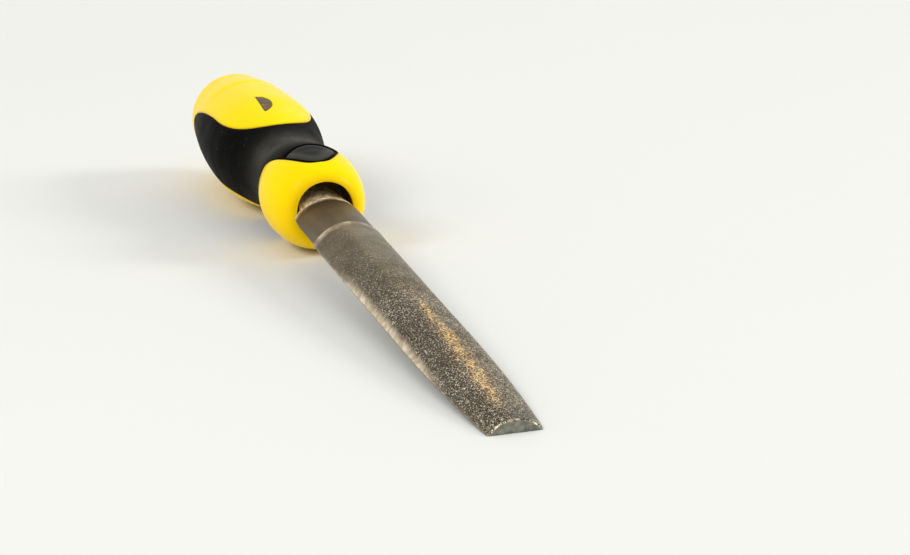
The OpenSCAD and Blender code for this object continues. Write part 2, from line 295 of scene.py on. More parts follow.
def wire(tree, kind, inputs=None, **settings):
    """A new shader node with its settings, and each input linked to a socket or set to a value."""
    made = tree.nodes.new("ShaderNode" + kind)
    for key, value in settings.items():
        setattr(made, key, value)
    for key, value in (inputs or {}).items():
        if isinstance(value, bpy.types.NodeSocket):
            tree.links.new(value, made.inputs[key])
        else:
            made.inputs[key].default_value = value
    return made


def number(tree, operation, *values):
    """The result of one arithmetic step on sockets or numbers, kept from 0 to 1 if it ends in !."""
    clamp = operation.endswith("!")
    operation = operation.rstrip("!")
    made = wire(tree, "Math", dict(enumerate(values)), operation=operation, use_clamp=clamp)
    return made.outputs[0]


def spread_to(tree, value, low, high, start=0.0, end=1.0):
    """A value carried from the range low to high over to the range start to end, and kept there."""
    made = wire(tree, "MapRange", {0: value, 1: low, 2: high, 3: start, 4: end})
    return made.outputs[0]


def blend(tree, share, first, second, mode="MIX"):
    """Two colours mixed by a share from 0 to 1."""
    made = wire(tree, "Mix", {0: share, 6: first, 7: second}, data_type="RGBA", blend_type=mode)
    return made.outputs[2]


def noise(tree, where, scale, detail=2.0, roughness=0.5, stretch=None):
    """Smooth random values from 0 to 1, finer with a larger scale, and drawn out along an axis."""
    if stretch:
        where = wire(tree, "Mapping", {0: where, 3: stretch}).outputs[0]
    settings = {"Vector": where, "Scale": scale, "Detail": detail, "Roughness": roughness}
    return wire(tree, "TexNoise", settings).outputs[0]


def mask_of(tree, name):
    """A mask that the mesh carries from point to point."""
    return wire(tree, "Attribute", attribute_name=name).outputs["Fac"]


def new_material(name):
    """An empty material with its shader, its output and the object's own coordinates."""
    material = bpy.data.materials.new(name)
    material.use_nodes = True
    tree = material.node_tree
    tree.nodes.clear()
    shader = wire(tree, "BsdfPrincipled")
    output = wire(tree, "OutputMaterial")
    tree.links.new(shader.outputs[0], output.inputs[0])
    return material, tree, shader, wire(tree, "TexCoord").outputs["Object"]


def connect(tree, shader, colour, rough, bumps):
    """Colour and roughness go into the shader, and so do the bumps, each a height and a depth in
    metres, one on top of the other."""
    tree.links.new(colour, shader.inputs["Base Color"])
    tree.links.new(rough, shader.inputs["Roughness"])
    normal = None
    for bump_height, depth in bumps:
        inputs = {"Height": bump_height, "Distance": depth, "Strength": 1.0}
        if normal:
            inputs["Normal"] = normal
        normal = wire(tree, "Bump", inputs).outputs[0]
    tree.links.new(normal, shader.inputs["Normal"])


# The steel's colours are browner and darker towards one edge of the blade, and greyer and lighter
# towards the other: painted light on that side
BROWN_EVEN, LIT_SIDE_EVEN = (0.180, 0.134, 0.072, 1), (0.232, 0.206, 0.148, 1)
BROWN_FLANK, LIT_SIDE_FLANK = (0.160, 0.118, 0.062, 1), (0.230, 0.204, 0.150, 1)
BROWN_GULLET_SHADE, LIT_SIDE_GULLET_SHADE = (0.030, 0.022, 0.013, 1), (0.050, 0.046, 0.037, 1)
GRIME, TOOTH_GLINT = (0.011, 0.009, 0.006, 1), (0.98, 0.87, 0.68, 1)
HIGHLIGHT_GAIN, STAIN = (2.30, 2.20, 2.05, 1), (0.085, 0.060, 0.032, 1)
HEEL_DARK, HEEL_LIGHT = (0.085, 0.060, 0.030, 1), (0.125, 0.090, 0.048, 1)
HEEL_STREAK, HEEL_PIT = (0.19, 0.150, 0.095, 1), (0.045, 0.030, 0.016, 1)
LIT_NECK_DARK, LIT_NECK_LIGHT = (0.40, 0.29, 0.16, 1), (0.95, 0.78, 0.52, 1)
WORN_HIGHLIT_DARK, WORN_HIGHLIT_LIGHT = (0.58, 0.45, 0.29, 1), (0.86, 0.73, 0.53, 1)
END_DARK, END_LIGHT = (0.150, 0.155, 0.125, 1), (0.260, 0.262, 0.215, 1)
END_BRUSHED = (0.46, 0.45, 0.38, 1)
DUST_DARK, DUST_LIGHT = (0.55, 0.30, 0.08, 1), (0.95, 0.64, 0.26, 1)

steel, tree, shader, where = new_material("hardened_tool_steel")
grain = noise(tree, where, 1500.0, 3.0, 0.6)
patches = noise(tree, where, 85.0, 3.0, 0.55)
streaks = noise(tree, where, 160.0, 3.0, 0.6, (0.08, 1.0, 1.0))
spots = noise(tree, where, 420.0, 3.0, 0.6)
salt = noise(tree, where, 2100.0, 2.0, 0.5)
pepper = noise(tree, where, 1700.0, 2.0, 0.6)
flecks = noise(tree, where, 1900.0, 2.0, 0.6)
brushed = noise(tree, where, 900.0, 2.0, 0.5, (1, 0.1, 1))
place = wire(tree, "SeparateXYZ", {0: where})
# Painted light: the steel is lighter towards the blade's +Y side
lit_side = spread_to(tree, place.outputs[1], -0.003, 0.009)
even = blend(tree, lit_side, BROWN_EVEN, LIT_SIDE_EVEN)
# Painted shade in the gullets: the colour darkens where the teeth are cut deep
gullet = blend(tree, lit_side, BROWN_GULLET_SHADE, LIT_SIDE_GULLET_SHADE)
flank = blend(tree, lit_side, BROWN_FLANK, LIT_SIDE_FLANK)

# Teeth: painted shade in the gullets, grime, a painted highlight along the crest and painted glints
# on the points, crisper towards the tip
tooth = mask_of(tree, "tooth")
teeth_colour = blend(tree, spread_to(tree, tooth, 0.08, 0.50), gullet, flank)
teeth_colour = blend(tree, spread_to(tree, pepper, 0.50, 0.57, 0.0, 0.9), teeth_colour, GRIME)
broken = spread_to(tree, streaks, 0.3, 0.7, 0.7, 1.0)
# Painted highlight: the colour is brightened along the crest band
crest_highlight_share = number(tree, "MULTIPLY", mask_of(tree, "crest_highlight"), broken)
teeth_colour = blend(tree, crest_highlight_share, teeth_colour, HIGHLIGHT_GAIN, "MULTIPLY")
even = blend(tree, number(tree, "MULTIPLY", crest_highlight_share, 0.7), even, HIGHLIGHT_GAIN, "MULTIPLY")
# Painted glints on the raised tooth points, brighter on some teeth than others
raised = spread_to(tree, tooth, 0.10, 0.35, 0.15, 1.0)
painted_glint = number(tree, "MULTIPLY", raised, spread_to(tree, salt, 0.535, 0.61))
own_glint = spread_to(tree, mask_of(tree, "each"), 0.1, 0.6, 0.5, 1.0)
painted_glint = number(tree, "MULTIPLY!", painted_glint, own_glint)
teeth_colour = blend(tree, painted_glint, teeth_colour, TOOTH_GLINT)
crisp = spread_to(tree, place.outputs[0], -0.080, -0.005, 0.30, 1.0)
teeth_colour = blend(tree, crisp, even, teeth_colour)
teeth_colour = blend(tree, spread_to(tree, patches, 0.42, 0.66, 0.0, 0.45), teeth_colour, STAIN)

# Heel: brown scale with streaks and pits, and painted light on the neck in the handle's mouth,
# where the bore shades it
heel_colour = blend(tree, spread_to(tree, patches, 0.35, 0.65), HEEL_DARK, HEEL_LIGHT)
heel_colour = blend(tree, spread_to(tree, streaks, 0.45, 0.7, 0.0, 0.45), heel_colour, HEEL_STREAK)
lit_neck_colour = blend(tree, spread_to(tree, spots, 0.40, 0.58), LIT_NECK_DARK, LIT_NECK_LIGHT)
heel_colour = blend(tree, mask_of(tree, "neck"), heel_colour, lit_neck_colour)
heel_colour = blend(tree, spread_to(tree, spots, 0.60, 0.68, 0.0, 0.75), heel_colour, HEEL_PIT)
surface = blend(tree, mask_of(tree, "plain"), teeth_colour, heel_colour)
# Bright worn metal together with painted highlights
wear_and_highlight_colour = blend(tree, spread_to(tree, spots, 0.4, 0.6), WORN_HIGHLIT_DARK, WORN_HIGHLIT_LIGHT)
surface = blend(tree, mask_of(tree, "wear_and_highlights"), surface, wear_and_highlight_colour)
end_colour = blend(tree, spread_to(tree, spots, 0.4, 0.65), END_DARK, END_LIGHT)
end_colour = blend(tree, spread_to(tree, brushed, 0.6, 0.7), end_colour, END_BRUSHED)
surface = blend(tree, mask_of(tree, "end"), surface, end_colour)

# Wood dust: single flecks, closer together where the mask is high, and none outside it
density = mask_of(tree, "dust")
fleck_height = number(tree, "ADD", flecks, number(tree, "MULTIPLY", density, 0.24))
fleck_height = number(tree, "SUBTRACT", fleck_height, 0.665)
dusted = spread_to(tree, fleck_height, 0.0, 0.025)
dusted = number(tree, "MULTIPLY", dusted, spread_to(tree, density, 0.02, 0.10))
dust_colour = blend(tree, spread_to(tree, grain, 0.35, 0.65), DUST_DARK, DUST_LIGHT)
surface = blend(tree, dusted, surface, dust_colour)
rough = spread_to(tree, patches, 0.3, 0.7, 0.34, 0.5)
rough = number(tree, "ADD", rough, number(tree, "MULTIPLY", dusted, 0.4))
dull = number(tree, "MAXIMUM", dusted, number(tree, "MULTIPLY", mask_of(tree, "neck"), 0.9))
metal = number(tree, "SUBTRACT!", spread_to(tree, spots, 0.55, 0.7, 0.92, 0.6), dull)
tree.links.new(metal, shader.inputs["Metallic"])
connect(tree, shader, surface, rough, [(streaks, 0.00004), (spots, 0.00003), (grain, 0.00006)])
blade.data.materials.append(steel)
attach(blade, "root")
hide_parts("file_blade")

# ---------------------------------------------------------------- Handle core
# The hard yellow plastic core, injection moulded: the collar round the tang, the recess for the
# soft grip, both panels and the domed butt.

AXIS_HEIGHT = 2.0
DROOP = math.radians(1.6)
HANDLE_LENGTH = 124.0
BORE_RADIUS, BORE_DEPTH, RIM_ROUND = 8.6, 15.0, 0.4
COLLAR_RADIUS, COLLAR_AT = 15.2, 18.0
WAIST_RADIUS, WAIST_AT = 12.1, 38.0
SWELL_RADIUS, SWELL_AT = 17.3, 76.5
BUTT_RADIUS, DOME_LENGTH, DOME_POWER = 14.0, 11.5, 2.4
DOME_AT = HANDLE_LENGTH - DOME_LENGTH
GRIP_DEPTH = 2.4
TONGUE_TIP, RING_FRONT = 6.0, 28.8
TONGUE_SPREAD, TONGUE_POWER = math.radians(59), 1.4
PANEL_FRONT, PANEL_WIDEST, PANEL_HALF_WIDTH = 51.9, 77.5, 14.35
PAD_END_LENGTH, PAD_END_POWER = 34.5, 1.6
JUST_INSIDE = 0.9975


def handle_radius(s):
    """Radius of the handle at distance s behind its mouth: a quarter ellipse over the collar,
    cosine curves to the waist and the swell, a parabola to the butt, and a superellipse dome,
    all drawn in a hair so that they stay inside the CAD solid."""
    lift = (1 - np.cos(np.pi * np.clip((s - COLLAR_AT) / (WAIST_AT - COLLAR_AT), 0, 1))) / 2
    rise = (1 - np.cos(np.pi * np.clip((s - WAIST_AT) / (SWELL_AT - WAIST_AT), 0, 1))) / 2
    fall = np.clip((s - SWELL_AT) / (DOME_AT - SWELL_AT), 0, 1) ** 2
    dome = np.clip(1 - np.clip((s - DOME_AT) / DOME_LENGTH, 0, 1) ** DOME_POWER, 0, 1)
    nose = np.sqrt(np.clip(1 - (1 - np.clip(s, 0, COLLAR_AT) / COLLAR_AT) ** 2, 0, 1))
    r = BORE_RADIUS + (COLLAR_RADIUS - BORE_RADIUS) * nose
    r = np.where(s > COLLAR_AT, COLLAR_RADIUS + (WAIST_RADIUS - COLLAR_RADIUS) * lift, r)
    r = np.where(s > WAIST_AT, WAIST_RADIUS + (SWELL_RADIUS - WAIST_RADIUS) * rise, r)
    r = np.where(s > SWELL_AT, SWELL_RADIUS + (BUTT_RADIUS - SWELL_RADIUS) * fall, r)
    return JUST_INSIDE * np.where(s > DOME_AT, BUTT_RADIUS * dome ** (1 / DOME_POWER), r)


def on_handle(s, y, h):
    """Points of the handle in the row frame, from the distance behind the mouth, the sideways
    place and the height above the handle's axis, which droops towards the butt."""
    x = MOUTH - s * math.cos(DROOP) - h * math.sin(DROOP)
    z = AXIS_HEIGHT - s * math.sin(DROOP) + h * math.cos(DROOP)
    return np.stack(np.broadcast_arrays(x, y, z), -1)


widest_radius = float(handle_radius(np.array(PANEL_WIDEST)))
PAD_HALF_HEIGHT = math.sqrt(widest_radius**2 - PANEL_HALF_WIDTH**2)


def into_grip(s, angle):
    """Distance inside the edge of the soft grip on the handle's skin, negative outside it: each
    edge's own equation divided by its slope along the skin, and the smaller of the two."""
    r = handle_radius(s)
    h = r * np.cos(angle)
    off_top = abs(np.where(angle > math.pi, angle - 2 * math.pi, angle))
    bend = np.clip(off_top / TONGUE_SPREAD, 0, 1) ** TONGUE_POWER
    front = s - TONGUE_TIP - (RING_FRONT - TONGUE_TIP) * (1 - np.cos(math.pi * bend)) / 2
    before = (PANEL_WIDEST - s) / (PANEL_WIDEST - PANEL_FRONT)
    behind = np.clip(s - PANEL_WIDEST, 0, None) / PAD_END_LENGTH
    panel_edge = r**2 - PANEL_HALF_WIDTH**2 * (1 - before**2)
    pad_edge = PAD_HALF_HEIGHT**2 * (1 - behind**PAD_END_POWER)
    panel = np.where(s < PANEL_WIDEST, panel_edge, pad_edge) - h**2
    path = np.hypot(np.gradient(s[:, 0]), np.gradient(r[:, 0]))[:, None]
    found = []
    for field in (front, panel):
        slope = np.hypot(np.gradient(field, axis=0) / path, np.gradient(field, axis=1) / (r * STEP))
        found.append(field / np.maximum(slope, 0.05))
    return np.minimum(*found)


def soft_edge(distance, width=0.20, steep=1.5):
    """Depth of a rounded edge: nothing well before it, then a slope, joined by a soft bend."""
    return steep * width * np.logaddexp(0, distance / width)


SPOKES = 240
STEP = 2 * math.pi / SPOKES
angle = (np.arange(SPOKES) * STEP)[None, :]
signed_angle = np.where(angle > math.pi, angle - 2 * math.pi, angle)
nose_s = COLLAR_AT * (1 - np.cos(np.linspace(0.035, 1.2, 40)))
dome_s = DOME_AT + 0.995 * DOME_LENGTH * np.sin(np.linspace(0.0, math.pi / 2, 40)) ** 0.9
body_s = np.linspace(nose_s[-1], DOME_AT, 240)
skin_s = np.concatenate([nose_s[:-1], body_s[:-1], dome_s[:-1]])[:, None]
skin_r = handle_radius(skin_s)
grip_distance = into_grip(skin_s, angle)


def sign_field(s, off_top):
    """Depth of the shallow field for the sign on top: it comes in with an S-curve, ends in a low
    step before the domed butt, and fades to both sides with the fourth power of the angle."""
    lengthways = ramp(s, 58, 66) * (1 - ramp(s, 94.5, 98.0))
    return 0.45 * lengthways * np.exp(-((off_top / 0.75) ** 4))


outer_r = skin_r - sign_field(skin_s, signed_angle)
outer_r = outer_r - np.minimum(soft_edge(grip_distance), GRIP_DEPTH)

# The sign's outline is a straight side and a bow, and its recess has rounded edges
MARK_AT, MARK_SIDE, MARK_LENGTH, MARK_WIDTH = 68.5, -2.6, 13.0, 3.8
BOW_RADIUS = ((MARK_LENGTH / 2) ** 2 + MARK_WIDTH**2) / (2 * MARK_WIDTH)
BOW_SIDE = MARK_SIDE + MARK_WIDTH - BOW_RADIUS
side = skin_r * np.sin(angle)
inside_bow = BOW_RADIUS - np.hypot(skin_s - MARK_AT, side - BOW_SIDE)
in_sign = np.minimum(inside_bow, side - MARK_SIDE)
in_sign = np.where(np.cos(angle) > 0, in_sign, -5)
outer_r = outer_r - 0.3 * ramp(in_sign, -0.30, 0.20)

# Bore, rounded rim, skin and butt as one closed lathe
turn = np.linspace(0, math.pi / 2, 7)[1:-1]
rim_s = RIM_ROUND + 0.02 - RIM_ROUND * np.sin(turn)
rim_r = BORE_RADIUS + RIM_ROUND - RIM_ROUND * np.cos(turn)
bore_s = np.concatenate([[BORE_DEPTH, BORE_DEPTH], np.linspace(BORE_DEPTH - 1, 0.6, 12), rim_s])
bore_r = np.concatenate([[4.0, BORE_RADIUS], np.full(12, BORE_RADIUS), rim_r])
all_s = np.concatenate([bore_s[:, None], skin_s])
all_r = np.concatenate([np.broadcast_to(bore_r[:, None], (len(bore_s), SPOKES)), outer_r])
core_points = on_handle(all_s, all_r * np.sin(angle), all_r * np.cos(angle)).reshape(-1, 3)
rows = len(all_s)
ends = on_handle(np.array([BORE_DEPTH, HANDLE_LENGTH - 0.05]), np.zeros(2), np.zeros(2))
core_points = np.concatenate([core_points, ends])
bore_cap = fan(rows * SPOKES, 0, SPOKES, True)
butt_cap = fan(rows * SPOKES + 1, (rows - 1) * SPOKES, SPOKES)

# Masks from 0 to 1: the seam against the grip, and painted shade that deepens into the bore and
# darkens round its rim
blank = np.zeros((len(bore_s), SPOKES))
seam = np.concatenate([blank, np.exp(-abs(grip_distance) / 0.28)])
depth = ramp(bore_s, 0.2, 3.0)[:, None] + blank
rim = np.concatenate([depth, 0.25 * np.exp(-skin_s / 1.2) + 0 * grip_distance])
core_masks = {
    "seam": np.concatenate([seam.ravel(), [0, 0]]),
    "rim": np.concatenate([rim.ravel(), [0, 0]]),
}
core_caps = np.concatenate([bore_cap, butt_cap])
core_quads = ring_quads(rows, SPOKES)
core = build_piece("handle_core_plastic", core_points, core_quads, core_caps, core_masks)


def new_group(name, sockets):
    """An empty shader group with its inputs, all numbers but the vector, and one Mask output."""
    group = bpy.data.node_groups.new(name, "ShaderNodeTree")
    for label, value in sockets.items():
        kind = "NodeSocketVector" if value is None else "NodeSocketFloat"
        made = group.interface.new_socket(name=label, in_out="INPUT", socket_type=kind)
        if value is not None:
            made.default_value = value
    group.interface.new_socket(name="Mask", in_out="OUTPUT", socket_type="NodeSocketFloat")
    return group, group.nodes.new("NodeGroupInput"), group.nodes.new("NodeGroupOutput")


# Scuffs: thin lines of several directions, each broken up by a patchy field
scuffs, given, result = new_group("fine_scuffs", {"Where": None, "Amount": 1.0})
lines = []
for turned, size in ((0.4, 900.0), (1.7, 1300.0), (2.6, 1100.0)):
    turning = {"Vector": given.outputs[0], "Angle": turned, "Axis": (0.3, 0.4, 1)}
    spun = wire(scuffs, "VectorRotate", turning)
    field = noise(scuffs, spun.outputs[0], size, 1.0, 0.4, (0.05, 1.0, 1.0))
    lines.append(spread_to(scuffs, field, 0.68, 0.76))
patchy = spread_to(scuffs, noise(scuffs, given.outputs[0], 70.0, 2.0), 0.48, 0.68)
most = number(scuffs, "MAXIMUM", number(scuffs, "MAXIMUM", lines[0], lines[1]), lines[2])
amount = number(scuffs, "MULTIPLY", given.outputs[1], patchy)
scuffs.links.new(number(scuffs, "MULTIPLY!", most, amount), result.inputs[0])

# Lint and dust: small round specks, only some of them kept
lint, given, result = new_group("lint_specks", {"Where": None, "Amount": 1.0, "Scale": 600.0})
cells = wire(lint, "TexVoronoi", {"Vector": given.outputs[0], "Scale": given.outputs[2]})
dots = spread_to(lint, cells.outputs["Distance"], 0.05, 0.17, 1.0, 0.0)
pick = wire(lint, "SeparateColor", {0: cells.outputs["Color"]}).outputs[0]
kept = number(lint, "GREATER_THAN", pick, 0.82)
specks = number(lint, "MULTIPLY", dots, kept)
lint.links.new(number(lint, "MULTIPLY!", specks, given.outputs[1]), result.inputs[0])


def use_group(tree, group, *values):
    """One of the shared effects, with its inputs in order."""
    made = wire(tree, "Group", node_tree=group)
    for k, value in enumerate(values):
        if isinstance(value, bpy.types.NodeSocket):
            tree.links.new(value, made.inputs[k])
        else:
            made.inputs[k].default_value = value
    return made.outputs[0]


def tinted(tree, mask, amount, base, tint):
    """A colour with a tint laid over it by a mask times an amount."""
    return blend(tree, number(tree, "MULTIPLY", mask, amount), base, tint)


YELLOW_DEEP, YELLOW_LIGHT = (1.0, 0.630, 0.0, 1), (1.0, 0.690, 0.0, 1)
YELLOW_SCUFFED, YELLOW_SPECK = (1.0, 0.80, 0.12, 1), (0.45, 0.30, 0.06, 1)
SEAM_DIRT, BORE_SHADE = (0.12, 0.070, 0.008, 1), (0.075, 0.045, 0.012, 1)

yellow, tree, shader, where = new_material("yellow_hard_plastic")
tone = noise(tree, where, 28.0, 2.0)
peel = noise(tree, where, 700.0, 2.0, 0.4)
smear = noise(tree, where, 120.0, 3.0, 0.6)
marks = use_group(tree, scuffs, where, 0.5)
bits = use_group(tree, lint, where, 0.6, 420.0)
colour = blend(tree, tone, YELLOW_DEEP, YELLOW_LIGHT)
colour = tinted(tree, marks, 0.30, colour, YELLOW_SCUFFED)
colour = tinted(tree, bits, 0.35, colour, YELLOW_SPECK)
colour = tinted(tree, mask_of(tree, "seam"), 0.75, colour, SEAM_DIRT)
# Painted shade inside the bore and round its mouth
colour = tinted(tree, mask_of(tree, "rim"), 0.92, colour, BORE_SHADE)
rough = spread_to(tree, smear, 0.3, 0.7, 0.17, 0.28)
rough = number(tree, "ADD", rough, number(tree, "MULTIPLY", marks, 0.25))
shader.inputs["Specular IOR Level"].default_value = 0.035
shader.inputs["Subsurface Weight"].default_value = 0.12
shader.inputs["Subsurface Radius"].default_value = (0.9, 0.5, 0.1)
shader.inputs["Subsurface Scale"].default_value = 0.0015
connect(tree, shader, colour, rough, [(peel, 0.00002), (marks, 0.00001)])
core.data.materials.append(yellow)
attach(core, "root")
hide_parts("handle_core")

# ---------------------------------------------------------------- Soft grip
# The black thermoplastic rubber grip, moulded over the core: a ring round the waist, a tongue
# that runs forward over the collar with the thumb pad's pocket, and two side pads.

THUMB_HALF, THUMB_BACK, THUMB_RIM = 8.0, 20.5, 0.7
THUMB_SINK, THUMB_DEPTH = 0.15, 0.9
BACK_SWELL = 4.0

# The pad's back edge swells about BACK_SWELL behind its points, which only its slope needs.
# Next is the place where the tongue's edge passes the foot of those points, in two rounds.
corner = COLLAR_AT
for attempt in range(2):
    corner_height = math.sqrt(float(handle_radius(np.array(corner))) ** 2 - THUMB_HALF**2)
    corner_angle = math.atan2(THUMB_HALF, corner_height - THUMB_SINK - THUMB_DEPTH)
    bend = (corner_angle / TONGUE_SPREAD) ** TONGUE_POWER
    corner = TONGUE_TIP + (RING_FRONT - TONGUE_TIP) * (1 - math.cos(math.pi * bend)) / 2
THUMB_RATE = (corner - TONGUE_TIP) / THUMB_HALF**2


def thumb_front(y, margin):
    """Front edge of the thumb pad: a parabola inside the tongue's edge, moved in by a margin."""
    return TONGUE_TIP + THUMB_RIM + margin + THUMB_RATE * (abs(y) + margin) ** 2


def thumb_back(y, half_width, margin):
    """Back edge of the thumb pad: a parabola between the two pointed ends."""
    end = thumb_front(half_width, margin)
    return end + (THUMB_BACK - margin - end) * (1 - (y / half_width) ** 2)


# The grip's skin with rounded edges and the pad's pocket, and a fine grain on the open rubber
grip_s = np.linspace(4.2, 112.0, 272)[:, None]
grip_r = handle_radius(grip_s)
distance = into_grip(grip_s, angle)
grip_y = grip_r * np.sin(angle)
lens_front = grip_s - thumb_front(grip_y, 0)
lens_back = thumb_back(grip_y, THUMB_HALF, 0) - grip_s
lens_front = lens_front / np.hypot(1, 2 * THUMB_RATE * abs(grip_y))
lens_back = lens_back / np.hypot(1, 2 * BACK_SWELL * abs(grip_y) / THUMB_HALF**2)
near_pad = (np.cos(angle) > 0) & (abs(grip_y) < THUMB_HALF + 1)
lens = np.where(near_pad, np.minimum(lens_front, lens_back), -9)
pocket = np.minimum(soft_edge(lens + 0.05, 0.12, 2.2), THUMB_DEPTH + THUMB_SINK)
grain_field = 0.02 * drift(grip_s, angle * 14, 1.1, 31) + 0.03 * drift(grip_s, angle * 14, 9.0, 33)
outside = grip_r - np.minimum(soft_edge(-distance), 1.3) - pocket
outside = outside + np.where(distance > 1, grain_field, 0)
inside = grip_r - GRIP_DEPTH - 0.02

# The cells up to just past the grip's edge are kept: outer faces, inner faces and walls between
kept = distance > -0.75
cell = kept[:-1] & kept[1:] & np.roll(kept, -1, 1)[:-1] & np.roll(kept, -1, 1)[1:]
cell_rows, cell_columns = np.nonzero(cell)
next_columns = (cell_columns + 1) % SPOKES
a, b = cell_rows * SPOKES + cell_columns, cell_rows * SPOKES + next_columns
top_quads = np.stack([a, a + SPOKES, b + SPOKES, b], -1)
floor_start = len(grip_s) * SPOKES
floor_quads = top_quads[:, ::-1] + floor_start
beside = np.pad(cell, ((1, 1), (0, 0)))
walls = []
for missing, first, second in (
    (~beside[:-2][cell_rows, cell_columns], b, a),
    (~beside[2:][cell_rows, cell_columns], a + SPOKES, b + SPOKES),
    (~np.roll(cell, 1, 1)[cell_rows, cell_columns], a, a + SPOKES),
    (~np.roll(cell, -1, 1)[cell_rows, cell_columns], b + SPOKES, b),
):
    pair = np.stack([first, second, second + floor_start, first + floor_start], -1)
    walls.append(pair[missing][:, ::-1])
grip_quads = np.concatenate([top_quads, floor_quads, *walls])
grip_points = [
    on_handle(grip_s, shell * np.sin(angle), shell * np.cos(angle)).reshape(-1, 3)
    for shell in (outside, inside)
]
grip_points = np.concatenate(grip_points)
used, grip_quads = np.unique(grip_quads, return_inverse=True)

# Masks from 0 to 1: the seam, and a painted highlight on the rubber at the waist, stronger over the
# top, and in streaks at the rear
edge = np.exp(-abs(distance) / 0.3).ravel()
over_top = 0.35 + 0.65 * ramp(np.cos(angle), 0.0, 0.9)
pale = np.exp(-(((grip_s - 38) / 8) ** 2)) * over_top
rear_streaks = ramp(drift(grip_s * 0.08, angle * 17, 1.6, 35), -1.2, 1.0)
pale = pale + 0.75 * ramp(grip_s, 86, 106) * rear_streaks
pale = (pale * (0.85 + 0.15 * drift(grip_s, angle * 14, 5.0, 36))).ravel()
grip_masks = {"seam": np.tile(edge, 2)[used], "pale": np.tile(pale, 2)[used]}
grip_quads = grip_quads.reshape(-1, 4)
grip = build_piece("grip_overmould_rubber", grip_points[used], grip_quads, (), grip_masks, 60)

BLACK_DEEP, BLACK_LIGHT = (0.0006, 0.0006, 0.0005, 1), (0.0016, 0.0015, 0.0012, 1)
RUBBER_HIGHLIGHT_GREY, RUBBER_SCUFFED = (0.062, 0.060, 0.050, 1), (0.030, 0.029, 0.025, 1)
RUBBER_LINT, SEAM_DARK = (0.11, 0.10, 0.080, 1), (0.002, 0.002, 0.002, 1)

rubber, tree, shader, where = new_material("black_soft_rubber")
tone = noise(tree, where, 45.0, 3.0)
pebble = wire(tree, "TexVoronoi", {"Vector": where, "Scale": 2400.0}).outputs["Distance"]
fine = noise(tree, where, 3200.0, 2.0, 0.6)
smear = noise(tree, where, 140.0, 3.0, 0.6)
marks = use_group(tree, scuffs, where, 1.0)
bits = use_group(tree, lint, where, 1.0, 500.0)
shader.inputs["Specular IOR Level"].default_value = 0.015
colour = blend(tree, tone, BLACK_DEEP, BLACK_LIGHT)
smeared = spread_to(tree, smear, 0.3, 0.6, 0.5, 1.1)
# Painted highlight at the waist and the rear of the grip
rubber_highlight = number(tree, "MULTIPLY!", mask_of(tree, "pale"), smeared)
colour = blend(tree, rubber_highlight, colour, RUBBER_HIGHLIGHT_GREY)
colour = tinted(tree, marks, 0.4, colour, RUBBER_SCUFFED)
colour = tinted(tree, bits, 0.35, colour, RUBBER_LINT)
colour = tinted(tree, mask_of(tree, "seam"), 0.5, colour, SEAM_DARK)
rough = spread_to(tree, smear, 0.3, 0.7, 0.44, 0.58)
rough = number(tree, "ADD", rough, number(tree, "MULTIPLY", marks, 0.15))
connect(tree, shader, colour, rough, [(pebble, 0.00003), (fine, 0.00002), (marks, 0.00001)])
grip.data.materials.append(rubber)
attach(grip, "root")
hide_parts("grip_overmould")

# ---------------------------------------------------------------- Thumb pad
# An almond-shaped pad of smoother, slightly green-grey rubber, moulded into its pocket on top of
# the tongue with an open crease all round.

THUMB_GAP = 0.25
thumb_half = THUMB_HALF - 2 * THUMB_GAP

# A grid from side to side and from front edge to back edge, closer together at the edges: the
# top is dished in the middle and rounded over at the rim
u = np.sin(np.linspace(-1, 1, 121) * math.pi / 2)[None, :] * 0.999
v = ((1 - np.cos(np.linspace(0, 1, 61) * math.pi)) / 2)[:, None]
pad_y = u * thumb_half
front_edge = thumb_front(pad_y, THUMB_GAP)
back_edge = thumb_back(pad_y, thumb_half, THUMB_GAP)
pad_s = front_edge + (back_edge - front_edge) * v
pad_y = np.broadcast_to(pad_y, pad_s.shape)
skin = np.sqrt(handle_radius(pad_s) ** 2 - pad_y**2)
from_front = (pad_s - front_edge) / np.hypot(1, 2 * THUMB_RATE * (abs(pad_y) + THUMB_GAP))
from_back = (back_edge - pad_s) / np.hypot(1, 2 * BACK_SWELL * abs(pad_y) / thumb_half**2)
from_edge = np.minimum(from_front, from_back)
dish = 0.35 * ramp(from_edge, 0.3, 4.6) * (1 - (pad_y / thumb_half) ** 2)
round_over = 0.5 * np.exp(-from_edge / 0.28)
pad_top = skin - THUMB_SINK - dish - np.minimum(round_over, 0.45)
pad_low = skin - THUMB_SINK - THUMB_DEPTH
pad_faces = [on_handle(pad_s, pad_y, h).reshape(-1, 3) for h in (pad_top, pad_low)]
thumb_points = np.concatenate(pad_faces)
rows, columns = pad_s.shape
i = (np.arange(rows - 1)[:, None] * columns + np.arange(columns - 1)[None, :]).ravel()
sheet_quads = np.stack([i, i + columns, i + columns + 1, i + 1], -1)
outline = np.concatenate([
    np.arange(columns),
    np.arange(1, rows) * columns + columns - 1,
    (rows - 1) * columns + np.arange(columns - 2, -1, -1),
    np.arange(rows - 2, 0, -1) * columns,
])
after = np.roll(outline, -1)
count = rows * columns
rim_quads = np.stack([outline, after, after + count, outline + count], -1)
thumb_quads = np.concatenate([sheet_quads, sheet_quads[:, ::-1] + count, rim_quads])
# A painted highlight along the pad's front edge
front_highlight = np.exp(-((from_front / 2.6) ** 2))
thumb_masks = {"rim": np.tile(front_highlight.ravel(), 2)}
thumb = build_piece("thumb_pad_rubber", thumb_points, thumb_quads, (), thumb_masks, 50)

